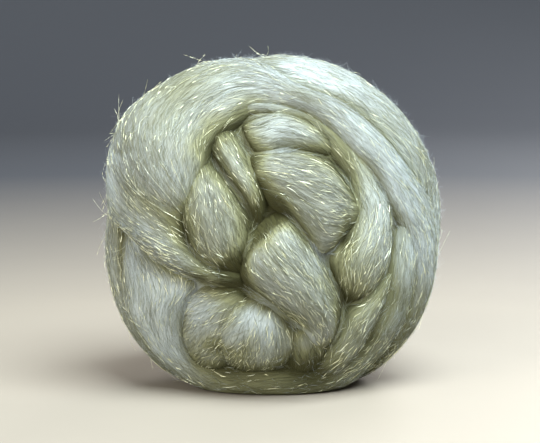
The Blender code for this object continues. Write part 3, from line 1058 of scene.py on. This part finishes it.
def group_of(name, inputs, outputs):
    """A new shader node group with the sockets named, and its two end nodes."""
    group = bpy.data.node_groups.new(name, "ShaderNodeTree")
    for label, kind, value in inputs:
        socket = group.interface.new_socket(label, in_out="INPUT", socket_type=kind)
        socket.default_value = value
    for label, kind in outputs:
        group.interface.new_socket(label, in_out="OUTPUT", socket_type=kind)
    return group, group.nodes.new("NodeGroupInput"), group.nodes.new("NodeGroupOutput")


def feed(tree, socket, given):
    """Links an input socket to the output socket given, or sets it to the plain value given."""
    if isinstance(given, bpy.types.NodeSocket):
        tree.links.new(given, socket)
    else:
        socket.default_value = given


def mixed(tree, factor, low, high):
    """A colour mix: each of the three is an output socket or a plain value."""
    mix = tree.nodes.new("ShaderNodeMix")
    mix.data_type = "RGBA"
    for socket, given in zip((mix.inputs[0], mix.inputs[6], mix.inputs[7]), (factor, low, high)):
        feed(tree, socket, given)
    return mix.outputs[2]


def worked(tree, operation, *given, clamped=True):
    """A math node on sockets or plain numbers, its result kept between 0 and 1 unless clamped is off."""
    node = tree.nodes.new("ShaderNodeMath")
    node.operation = operation
    node.use_clamp = clamped
    for socket, value in zip(node.inputs, given):
        feed(tree, socket, value)
    return node.outputs[0]


def placed_group(tree, group, **values):
    """A node of the group in a material, its inputs set or linked."""
    node = tree.nodes.new("ShaderNodeGroup")
    node.node_tree = group
    for label, value in values.items():
        feed(tree, node.inputs[label], value)
    return node


def noise_texture(tree, place, dimensions="3D", **values):
    """Blender's noise from 0 to 1 at the places that an output socket gives."""
    node = tree.nodes.new("ShaderNodeTexNoise")
    node.noise_dimensions = dimensions
    tree.links.new(place, node.inputs["Vector"])
    for label, value in values.items():
        node.inputs[label].default_value = value
    return node.outputs["Fac"]


def value_of(tree, name):
    """The value that a mesh keeps at its points under that name."""
    node = tree.nodes.new("ShaderNodeAttribute")
    node.attribute_name = name
    return node.outputs["Fac"]


def four(colour, strength=1.0):
    """A colour, made weaker or stronger, as the four values that a colour socket takes."""
    return (*[channel * strength for channel in colour], 1.0)


@functools.lru_cache(maxsize=None)
def wool_colour_group():
    """Combed wool's colour: deep to pale by tone, drifting over the nest, and darkened to gold and olive by
    the crease's painted shade.
    """
    numbers = [("Tone", "NodeSocketFloat", 0.5), ("Crease", "NodeSocketFloat", 0.0)]
    colours = [(label, "NodeSocketColor", (0.5, 0.5, 0.5, 1)) for label in ("Pale", "Deep", "Gold", "Olive")]
    group, given, out = group_of("Wool colour", numbers + colours, [("Color", "NodeSocketColor")])
    where = group.nodes.new("ShaderNodeTexCoord")
    drift = noise_texture(group, where.outputs["Object"], Scale=100.0, Detail=5.0, Roughness=0.65)
    shifted = worked(group, "MULTIPLY_ADD", drift, 0.7, -0.35)
    tone = worked(group, "ADD", given.outputs["Tone"], shifted)
    plain = mixed(group, tone, given.outputs["Deep"], given.outputs["Pale"])
    # The crease paints shade: towards gold first, then olive, more strongly on darker fibre.
    uneven = worked(group, "MULTIPLY_ADD", tone, -0.6, 1.3, clamped=False)
    crease = worked(group, "MULTIPLY", given.outputs["Crease"], uneven)
    lower = worked(group, "MULTIPLY", crease, 2.0)
    deeper = worked(group, "MULTIPLY_ADD", crease, 2.0, -1.0)
    golden = mixed(group, lower, plain, given.outputs["Gold"])
    group.links.new(mixed(group, deeper, golden, given.outputs["Olive"]), out.inputs["Color"])
    return group


@functools.lru_cache(maxsize=None)
def streaks_group():
    """Streaks of combed fibre: noise on the turn's own map in metres, drawn out along it, in two sizes."""
    group, given, out = group_of(
        "Combed streaks",
        [("Along", "NodeSocketFloat", 110.0), ("Across", "NodeSocketFloat", 3600.0)],
        [("Mask", "NodeSocketFloat")],
    )
    chart = group.nodes.new("ShaderNodeUVMap")
    chart.uv_map = "combed"
    split = group.nodes.new("ShaderNodeSeparateXYZ")
    group.links.new(chart.outputs["UV"], split.inputs[0])
    masks = []
    for size, weight in ((1.0, 0.75), (0.38, 0.25)):
        joined = group.nodes.new("ShaderNodeCombineXYZ")
        for axis, label in enumerate(("Along", "Across")):
            scaled = worked(group, "MULTIPLY", split.outputs[axis], given.outputs[label], clamped=False)
            group.links.new(worked(group, "MULTIPLY", scaled, size, clamped=False), joined.inputs[axis])
        streaked = noise_texture(group, joined.outputs[0], "2D", Scale=1.0, Detail=2.0)
        masks.append(worked(group, "MULTIPLY", streaked, weight))
    sharper = worked(group, "MULTIPLY_ADD", worked(group, "ADD", *masks), 3.0, -1.0)
    group.links.new(sharper, out.inputs["Mask"])
    return group


def bare_material(name):
    """A new material, its tree of nodes and its Principled shader."""
    material = bpy.data.materials.new(name)
    material.use_nodes = True
    tree = material.node_tree
    return material, tree, tree.nodes["Principled BSDF"]


def wool_colour(tree, looks, tone):
    """The wool's colour in a material, by the tone given and by the crease that the mesh keeps."""
    node = placed_group(
        tree,
        wool_colour_group(),
        Tone=tone,
        Crease=value_of(tree, "crease"),
        Pale=four(looks.pale),
        Deep=four(looks.deep),
        Gold=four(looks.gold),
        Olive=four(looks.olive),
    )
    return node.outputs["Color"]


def turn_material(looks):
    """The wool of a turn: streaked by its own combed fibre, which also raises it."""
    material, tree, shader = bare_material("combed_wool")
    streaks = placed_group(tree, streaks_group()).outputs["Mask"]
    streaked = worked(tree, "MULTIPLY_ADD", streaks, 0.28, -0.2, clamped=False)
    tone = worked(tree, "ADD", streaked, value_of(tree, "tone"))
    bump = tree.nodes.new("ShaderNodeBump")
    bump.inputs["Distance"].default_value = 0.12 * MM
    tree.links.new(streaks, bump.inputs["Height"])
    tree.links.new(bump.outputs["Normal"], shader.inputs["Normal"])
    tree.links.new(wool_colour(tree, looks, tone), shader.inputs["Base Color"])
    shader.inputs["Roughness"].default_value = 0.8
    shader.inputs["Specular IOR Level"].default_value = 0.25
    return material


def fibre_material(looks, name="wool_fibre"):
    """Single fibres: each has a tone of its own, and takes the crease's painted shade where it lies in one."""
    material, tree, shader = bare_material(name)
    tree.links.new(wool_colour(tree, looks, value_of(tree, "tone")), shader.inputs["Base Color"])
    shader.inputs["Roughness"].default_value = 0.55
    shader.inputs["Specular IOR Level"].default_value = 0.4
    return material


def filament_material(looks):
    """The metal of the filaments: pale gold, some nearer silver."""
    material, tree, shader = bare_material("gold_filament")
    metal = mixed(tree, value_of(tree, "tone"), four(looks.gold), four(looks.silver))
    tree.links.new(metal, shader.inputs["Base Color"])
    shader.inputs["Metallic"].default_value = 0.55
    shader.inputs["Roughness"].default_value = 0.5
    return material


# -------------------- sizes and colours that a user would change --------------------


def size_property(name, description, default):
    """A length in metres."""
    return FloatProperty(
        name=name, description=description, default=default, min=0.0, unit="LENGTH", precision=5
    )


def count_property(name, description, default):
    """How many of a kind are made, or tried where some are left out again."""
    return IntProperty(name=name, description=description, default=default, min=0)


def colour_property(name, description, default):
    """A colour, in linear light."""
    return FloatVectorProperty(
        name=name, description=description, default=default, min=0.0, max=1.0, size=3, subtype="COLOR"
    )


class RovingWool(bpy.types.PropertyGroup):
    """The turns and their wool."""

    long_step: size_property("Step along", "Distance between a turn's sections", 0.0022)
    wide_step: size_property("Step across", "Distance between points round a section's outer side", 0.0008)
    pale: colour_property("Pale", "The lightest fibres", (0.60, 0.672, 0.69))
    deep: colour_property("Deep", "The darkest fibres of the open surface", (0.22, 0.23, 0.19))
    # Gold and olive are painted shade for the creases: gold at their sides, with the wool's own gold tint,
    # olive deep down.
    gold: colour_property("Gold", "The wool at the sides of the creases", (0.215, 0.219, 0.118))
    olive: colour_property("Olive", "The wool down in the creases", (0.062, 0.061, 0.021))


class RovingFibres(bpy.types.PropertyGroup):
    """The single fibres on the surface."""

    count: count_property("Fibres", "Fibres laid on the surface", 40000)
    creased: count_property("In the creases", "More fibres, laid along the creases", 12500)
    length: size_property("Length", "Usual length of a fibre that shows", 0.0095)
    width: size_property("Width", "Usual width of a fibre, or of the few that lie as one", 0.00008)


class RovingFilaments(bpy.types.PropertyGroup):
    """The pale gold filaments blended into the wool."""

    glints: count_property("Glints", "Short lengths that may come to the surface", 24500)
    runs: count_property("Runs", "Long filaments that stay on the surface", 110)
    strays: count_property("Strays", "Ends that may stand out of the wool", 800)
    width: size_property("Width", "Width of the flat filament", 0.00013)
    gold: colour_property("Gold", "The filaments' metal", (0.965, 0.95, 0.60))
    silver: colour_property("Silver", "The palest filaments' metal", (0.97, 1.0, 0.80))


class RovingHaze(bpy.types.PropertyGroup):
    """The haze of loose fibre ends round the nest."""

    count: count_property("Loose ends", "Fine fibres that may stand off the surface", 28000)
    length: size_property("Length", "Usual length of a loose end", 0.0026)
    width: size_property("Width", "Width of a loose end", 0.000052)


class RovingStage(bpy.types.PropertyGroup):
    """The floor, the light and the camera."""

    floor: colour_property("Floor", "The plain floor", (0.33, 0.29, 0.24))
    backdrop: colour_property("Backdrop", "The plain backdrop behind it", (0.085, 0.092, 0.108))
    distance: size_property("Distance", "From the camera to the point that it looks at", 0.8)
    elevation: FloatProperty(
        name="Elevation",
        description="The camera's height above the horizon",
        default=math.radians(7),
        subtype="ANGLE",
    )


# -------------------- operators --------------------


def dress(piece):
    """Hides the node's imported solid, which the turns stand in for."""
    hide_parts(NODE)


class ROVING_OT_wind_turns(bpy.types.Operator):
    """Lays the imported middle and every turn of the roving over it"""

    bl_idname = "roving.wind_turns"
    bl_label = "Wind the turns"

    def execute(self, context):
        wool = context.scene.roving_wool
        material = turn_material(wool)
        for turn in turns():
            at = even_places(turn.along, turn.at, wool.long_step)
            under = np.linspace(np.pi, 2 * np.pi, UNDER_STEPS + 1)[1:]
            angle = np.concatenate([outer_angles(turn, wool.wide_step), under])
            along, around = along_of(turn, at), np.interp(angle, turn.angle, turn.around)
            if turn.closed:
                at = at[:-1]
            at, angle = at[:, None], angle[None, :-1]
            toward, height = skin(turn, at, angle)
            # Each turn's lowest points have a level of their own, so that no two lie in one plane.
            gap = FLOOR_GAP * (1 + 0.2 * turn.number)
            points = placed(toward, height + relief(turn, at, angle), gap)
            name, values = "turn_" + turn.strand.name, looks_at(turn, at, angle)
            dress(surface_piece(name, points, turn.closed, along, around, values, material))
        self.packed_middle(material)
        return {"FINISHED"}

    def packed_middle(self, material):
        """The wool below the turns, which fills the bottoms of the creases."""
        polar = np.linspace(0, 180, MIDDLE_RINGS + 1)[1:-1, None]
        clock = np.linspace(0, 360, MIDDLE_SPOKES + 1)[None, :]
        toward = direction(clock, polar)[:, :-1]
        points = placed(toward, filled(toward), 8 * FLOOR_GAP)
        along, around = np.radians(polar[:, 0]) * HALF_HEIGHT, np.radians(clock[0]) * HALF_HEIGHT
        # Its colour takes painted shade, most in the hollows, and the patches' painted light and shade.
        paler, deeper = patched(toward)
        tone = np.clip(0.35 + paler, 0, 1)
        crease = np.clip(0.40 + 0.9 * read_chart("hollow", toward) + deeper, 0, 1)
        dress(surface_piece("packed_middle", points, False, along, around, (tone, crease), material))


class ROVING_OT_lay_fibres(bpy.types.Operator):
    """Lays single fibres along the turns, and along the creases between them"""

    bl_idname = "roving.lay_fibres"
    bl_label = "Lay the fibres"

    def execute(self, context):
        sizes = context.scene.roving_fibres
        material = fibre_material(context.scene.roving_wool)
        rng = np.random.default_rng(FIBRES.seed)
        made = []
        for turn, at, angle in roots(sizes.count, FIBRES.seed + 1):
            count = len(at)
            # One fibre in five strays further, and most have both ends tucked in. Rise and sink are in mm.
            length = sizes.length * rng.uniform(0.55, 1.6, count)
            drift = length * rng.normal(0, FIBRES.drift, count) * rng.choice([1.0, 2.5], count, p=[0.8, 0.2])
            sway = length * rng.normal(0, FIBRES.sway, count)
            rise = 0.04 + 0.35 * rng.random((count, 1)) ** 2
            sink = rng.choice([0.0, 0.5], (count, 1), p=[0.3, 0.7])
            t = np.linspace(-1, 1, FIBRES.steps)[None, :]
            lift = (rise - sink * t**6) * MM
            paths, out, kept = follow(turn, at, angle, length, drift, sway, lift)
            tone, crease = looks_at(turn, at, angle)
            tone = np.clip(tone + rng.normal(0, 0.13, count), 0, 1)
            # A fibre takes a little less of its place's painted shade, and three in ten are gold fibres of
            # their own.
            crease = np.clip(0.85 * crease + 0.45 * (rng.random(count) < 0.3), 0, 1)
            width = sizes.width * rng.uniform(0.6, 1.3, count)
            made.append((paths[kept], out[kept], tone[kept], crease[kept], width[kept]))
        paths, out, crease = crease_paths(sizes.creased, 0.6 * sizes.length, rng)
        count = len(paths)
        tone, width = rng.uniform(0.0, 1.0, count), sizes.width * rng.uniform(0.7, 1.5, count)
        paths, out, tone, crease, width = stacked([*made, (paths, out, tone, crease, width)])
        half = np.repeat(width[:, None] / 2, FIBRES.steps - 2, axis=1)
        front_to_back = np.argsort(paths[:, FIBRES.steps // 2, 1])
        for number, chosen in enumerate(np.array_split(front_to_back, FIBRE_PIECES)):
            spun = spindles(paths[chosen], out[chosen], half[chosen])
            piece = spindle_piece(f"fibres_{number + 1}", spun, tone[chosen], crease[chosen], material)
        return {"FINISHED"}


class ROVING_OT_blend_filaments(bpy.types.Operator):
    """Adds the glints, the long runs and the stray ends of the gold filaments"""

    bl_idname = "roving.blend_filaments"
    bl_label = "Blend in the filaments"

    def execute(self, context):
        sizes = context.scene.roving_filaments
        material = filament_material(sizes)
        for part in (self.glints, self.runs, self.strays):
            part(sizes, material)
        return {"FINISHED"}

    def glints(self, sizes, material):
        """Short lengths, each tilted a little from the fibres that it lies among."""
        rng = np.random.default_rng(GLINTS.seed)
        made = []
        for turn, at, angle in roots(sizes.glints, GLINTS.seed + 1):
            # The filaments are blended in more thickly in some locks than in others.
            thick = 0.5 + 1.2 * combed(turn, at, angle, 0.020, 0.0070, GLINTS.seed + turn.number)
            chosen = rng.random(len(at)) < np.clip(thick, 0.15, 1)
            at, angle, count = at[chosen], angle[chosen], chosen.sum()
            length = np.clip(rng.lognormal(math.log(GLINT_LENGTH), GLINT_SPREAD, count), *GLINT_LIMITS) * MM
            drift = length * rng.normal(0, GLINTS.drift, count)
            sway = length * rng.normal(0, GLINTS.sway, count)
            lift = rng.uniform(0.15, 0.50, count)[:, None] * MM + rng.normal(0, 0.10, (count, 2)) @ LEAN * MM
            paths, out, kept = follow(turn, at, angle, length, drift, sway, lift)
            _, crease = looks_at(turn, at, angle)
            # Few show deep in a crease, and fewer where the surface faces up.
            kept &= rng.random(count) > crease**2
            kept &= rng.random(count) < np.clip(0.66 - 0.70 * out[:, 0, 2], 0.18, 0.60)
            made.append((paths[kept], out[kept], rng.random(kept.sum()), crease[kept]))
        paths, out, tone, crease = stacked(made)
        turned = rng.uniform(0, 2 * np.pi, len(paths))[:, None]
        up = spun_about(paths, out, np.repeat(turned, GLINTS.steps, axis=1))
        half = sizes.width / 2 * rng.uniform(0.6, 1.2, (len(paths), 1)) * np.ones((1, GLINTS.steps - 2))
        # Those that face down are broader, since more of them lie as one there.
        half *= 1 + 0.8 * np.clip(-out[:, 0, 2], 0, 1)[:, None]
        spun = spindles(paths, up, half, flat=GLINT_FLAT)
        spindle_piece("filament_glints", spun, tone, crease, material, smooth=False)

    def runs(self, sizes, material):
        """Long flat filaments that twist as they go, so that they flash at every half turn."""
        rng = np.random.default_rng(RUNS.seed)
        made = []
        for turn, at, angle in roots(sizes.runs, RUNS.seed + 1):
            count = len(at)
            length = rng.uniform(*RUN_LIMITS, count) * MM
            drift = length * rng.normal(0, RUNS.drift, count)
            sway = length * rng.normal(0, RUNS.sway, count)
            t = np.linspace(-1, 1, RUNS.steps)[None, :]
            # A run waves up and down above the surface, and dives in at both ends.
            wave = np.sin(t * rng.uniform(3, 9, (count, 1)) + rng.uniform(0, 6, (count, 1)))
            lift = (0.35 + 0.25 * wave - 0.8 * t**8) * MM
            paths, out, kept = follow(turn, at, angle, length, drift, sway, lift)
            _, crease = looks_at(turn, at, angle)
            made.append((paths[kept], out[kept], rng.random(kept.sum()), crease[kept]))
        paths, out, tone, crease = stacked(made)
        spun = twisted(paths, out, RUN_PITCH, sizes.width, rng)
        spindle_piece("filament_runs", spun, tone, crease, material, smooth=False)

    def strays(self, sizes, material):
        """Ends that stand out of the wool and curl, most of them round the rim."""
        rng = np.random.default_rng(STRAYS.seed)
        paths, out = loose_paths(STRAYS, sizes.strays, STRAY_LENGTH, rim_share, rng)
        spun, tone = twisted(paths, out, STRAY_PITCH, sizes.width, rng), rng.random(len(paths))
        spindle_piece("filament_strays", spun, tone, np.zeros(len(paths)), material, smooth=False)


def spun_about(paths, out, turned):
    """The outward vectors turned about each path's own line, by an angle at each step."""
    side, up = crossed(paths, out)
    return np.cos(turned)[..., None] * up + np.sin(turned)[..., None] * side


def twisted(paths, out, pitch, width, rng):
    """Flat spindles that make about one turn in every pitch, each from a random start."""
    gaps = steps_between(paths, axis=1)
    distance = np.concatenate([np.zeros((len(paths), 1)), np.cumsum(gaps, axis=1)], axis=1)
    pitches = pitch * rng.uniform(0.7, 1.5, (len(paths), 1))
    turned = rng.uniform(0, 2 * np.pi, (len(paths), 1)) + 2 * np.pi * distance / pitches
    half = np.full((len(paths), paths.shape[1] - 2), width / 2)
    return spindles(paths, spun_about(paths, out, turned), half, flat=FILAMENT_FLAT)


def rim_share(toward):
    """The share of stray ends kept: most at the rim as seen from the front, and more at its left."""
    out = outward(toward)
    return np.clip(1.7 * (1 - np.abs(out[..., 1])) - 0.5, 0.04, 1) * np.where(out[..., 0] < 0, 1.0, 0.45)


def open_share(toward):
    """The share of fine loose ends kept: none in the creases, and fewer on the coiled face than round it."""
    faces = np.clip(-2 * outward(toward)[..., 1] - 0.8, 0, 1)
    return (read_chart("hollow", toward) < 0.12) * (1 - 0.75 * faces)


def loose_paths(kind, count, length, share, rng):
    """Paths from the surface outwards: along the turn and out of it, with a curl that grows to the tip.

    Of the count tried, the share that the function 'share' gives for their direction is kept, less those
    that reach the floor or stand too far out.
    """
    found = []
    for turn, at, angle in roots(count, kind.seed + 1):
        chosen = rng.random(len(at)) < share(skin(turn, at, angle)[0])
        at, angle, here = at[chosen], angle[chosen], chosen.sum()
        toward, height = skin(turn, at, angle)
        base = placed(toward, height + relief(turn, at, angle))
        *_, ahead, beside, out = frame_at(turn, at, angle)
        way = rng.choice([-1.0, 1.0], here)[:, None] * ahead + rng.normal(0, 0.45, (here, 1)) * beside
        reach = (length * rng.uniform(0.4, 1.7, here))[:, None, None]
        t = np.linspace(0, 1, kind.steps)[None, :, None]
        rise = (kind.rise * rng.uniform(0.3, 1.4, here))[:, None, None]
        curl = rng.normal(0, 0.5, (here, 3))[:, None, :]
        path = base[:, None] + reach * (
            unit(way)[:, None] * t + out[:, None] * (rise * t * (1 - 0.35 * t) - 0.05) + curl * t**2 * 0.6
        )
        found.append((path, np.repeat(out[:, None], kind.steps, axis=1)))
    paths, outs = stacked(found)
    low, high = np.array(CAD_BOX)
    # They stay within 8 mm and 3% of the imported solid's box.
    room = 0.03 * (high - low) + 0.008
    inside = (paths > low - room).all(axis=(1, 2)) & (paths < high + room).all(axis=(1, 2))
    inside &= above_floor(paths, 3)
    return paths[inside], outs[inside]


class ROVING_OT_raise_haze(bpy.types.Operator):
    """Adds the fine loose ends that stand off the surface and soften its outline"""

    bl_idname = "roving.raise_haze"
    bl_label = "Raise the haze"

    def execute(self, context):
        sizes = context.scene.roving_haze
        material = fibre_material(context.scene.roving_wool, "loose_fibre")
        rng = np.random.default_rng(HAZE.seed)
        paths, out = loose_paths(HAZE, sizes.count, sizes.length, open_share, rng)
        spun = spindles(paths, out, np.full((len(paths), HAZE.steps - 2), sizes.width / 2))
        tone, crease = np.full(len(paths), 0.9), np.zeros(len(paths))
        piece = spindle_piece("loose_ends", spun, tone, crease, material)
        return {"FINISHED"}


class ROVING_OT_set_stage(bpy.types.Operator):
    """Makes the plain floor and backdrop, the soft light and the camera"""

    bl_idname = "roving.set_stage"
    bl_label = "Set the stage"

    def execute(self, context):
        stage = context.scene.roving_stage
        self.floor(stage)
        self.light(context)
        self.camera(context, stage)
        return {"FINISHED"}

    def floor(self, stage):
        """A round floor that bends up all round: pale in the middle, the backdrop's colour outside."""
        bend = np.linspace(0, math.pi / 2, 13)
        radius = [FLOOR_MIDDLE, *(FLOOR_FLAT + FLOOR_BEND * np.sin(bend)), FLOOR_FLAT + FLOOR_BEND]
        rise = [0.0, *(FLOOR_BEND * (1 - np.cos(bend))), FLOOR_RIM]
        around = np.radians(np.arange(0, 360, 5))
        rings = [np.outer(radius, np.cos(around)), np.outer(radius, np.sin(around))]
        points = np.stack([*rings, np.outer(rise, np.ones(around.size))], axis=-1)
        quads, _ = tube_faces(len(radius), around.size, closed=False)
        mesh = bpy.data.meshes.new("floor")
        mesh.from_pydata(points.reshape(-1, 3).tolist(), [], [*quads.tolist(), list(range(around.size))])
        mesh.shade_smooth()
        mesh.materials.append(self.floor_material(stage))
        floor = linked("floor", mesh)

    def floor_material(self, stage):
        """The floor's faintly uneven colour, and the backdrop's further out."""
        material, tree, shader = bare_material("plain_floor")
        where = tree.nodes.new("ShaderNodeTexCoord").outputs["Object"]
        uneven = noise_texture(tree, where, Scale=14.0)
        reach = tree.nodes.new("ShaderNodeVectorMath")
        reach.operation = "LENGTH"
        tree.links.new(where, reach.inputs[0])
        outer = worked(tree, "MULTIPLY_ADD", reach.outputs["Value"], 1.8, -0.35)
        plain = mixed(tree, uneven, four(stage.floor, 0.96), four(stage.floor, 1.04))
        tree.links.new(mixed(tree, outer, plain, four(stage.backdrop)), shader.inputs["Base Color"])
        shader.inputs["Roughness"].default_value = 0.6
        return material

    def light(self, context):
        """Broad soft lights above, at the front left and behind, and a pale sky."""
        for name, kind in LAMPS.items():
            data = bpy.data.lights.new(name, "AREA")
            data.size = kind.side
            data.energy = kind.power
            data.color = kind.colour
            lamp = linked(name, data)
            lamp.location = kind.place
            way = Vector(LAMP_AIM) - Vector(kind.place)
            lamp.rotation_euler = way.to_track_quat("-Z", "Y").to_euler()
        world = bpy.data.worlds.new("pale_sky")
        world.use_nodes = True
        sky = world.node_tree.nodes["Background"]
        sky.inputs["Color"].default_value = four(SKY_COLOUR)
        sky.inputs["Strength"].default_value = SKY_STRENGTH
        context.scene.world = world
        context.scene.view_settings.view_transform = "Standard"

    def camera(self, context, stage):
        """Looks from the front and a little above, a long lens far enough back to keep the shape true."""
        aim = Vector(AIM) + Vector(shift())
        away = Vector((0, -math.cos(stage.elevation), math.sin(stage.elevation)))
        data = bpy.data.cameras.new("camera")
        data.sensor_width = SENSOR
        data.lens = SENSOR * stage.distance / PICTURE_WIDTH
        camera = linked("camera", data)
        camera.location = aim + away * stage.distance
        camera.rotation_euler = (-away).to_track_quat("-Z", "Y").to_euler()
        context.scene.camera = camera


class ROVING_PT_panel(bpy.types.Panel):
    """The nest's operators, and the sizes and colours that they use"""

    bl_idname = "ROVING_PT_panel"
    bl_label = "Roving"
    bl_space_type = "VIEW_3D"
    bl_region_type = "UI"
    bl_category = "Roving"

    def draw(self, context):
        for operator, name, settings in STEPS_IN_ORDER:
            box = self.layout.box()
            box.operator(operator.bl_idname)
            for label in settings.__annotations__:
                box.prop(getattr(context.scene, name), label)


# Every step in its order: its operator, and the name and the class of its settings in the scene.
STEPS_IN_ORDER = (
    (ROVING_OT_wind_turns, "roving_wool", RovingWool),
    (ROVING_OT_lay_fibres, "roving_fibres", RovingFibres),
    (ROVING_OT_blend_filaments, "roving_filaments", RovingFilaments),
    (ROVING_OT_raise_haze, "roving_haze", RovingHaze),
    (ROVING_OT_set_stage, "roving_stage", RovingStage),
)


def register():
    """Adds the settings, the operators and the panel to Blender."""
    for operator, name, settings in STEPS_IN_ORDER:
        bpy.utils.register_class(settings)
        setattr(bpy.types.Scene, name, PointerProperty(type=settings))
        bpy.utils.register_class(operator)
    bpy.utils.register_class(ROVING_PT_panel)


def unregister():
    """Takes them away again, last first."""
    bpy.utils.unregister_class(ROVING_PT_panel)
    for operator, name, settings in reversed(STEPS_IN_ORDER):
        bpy.utils.unregister_class(operator)
        delattr(bpy.types.Scene, name)
        bpy.utils.unregister_class(settings)


def main():
    """Runs every step in its order."""
    register()
    for operator, _, _ in STEPS_IN_ORDER:
        family, name = operator.bl_idname.split(".")
        getattr(getattr(bpy.ops, family), name)()


if __name__ == "__main__":
    main()
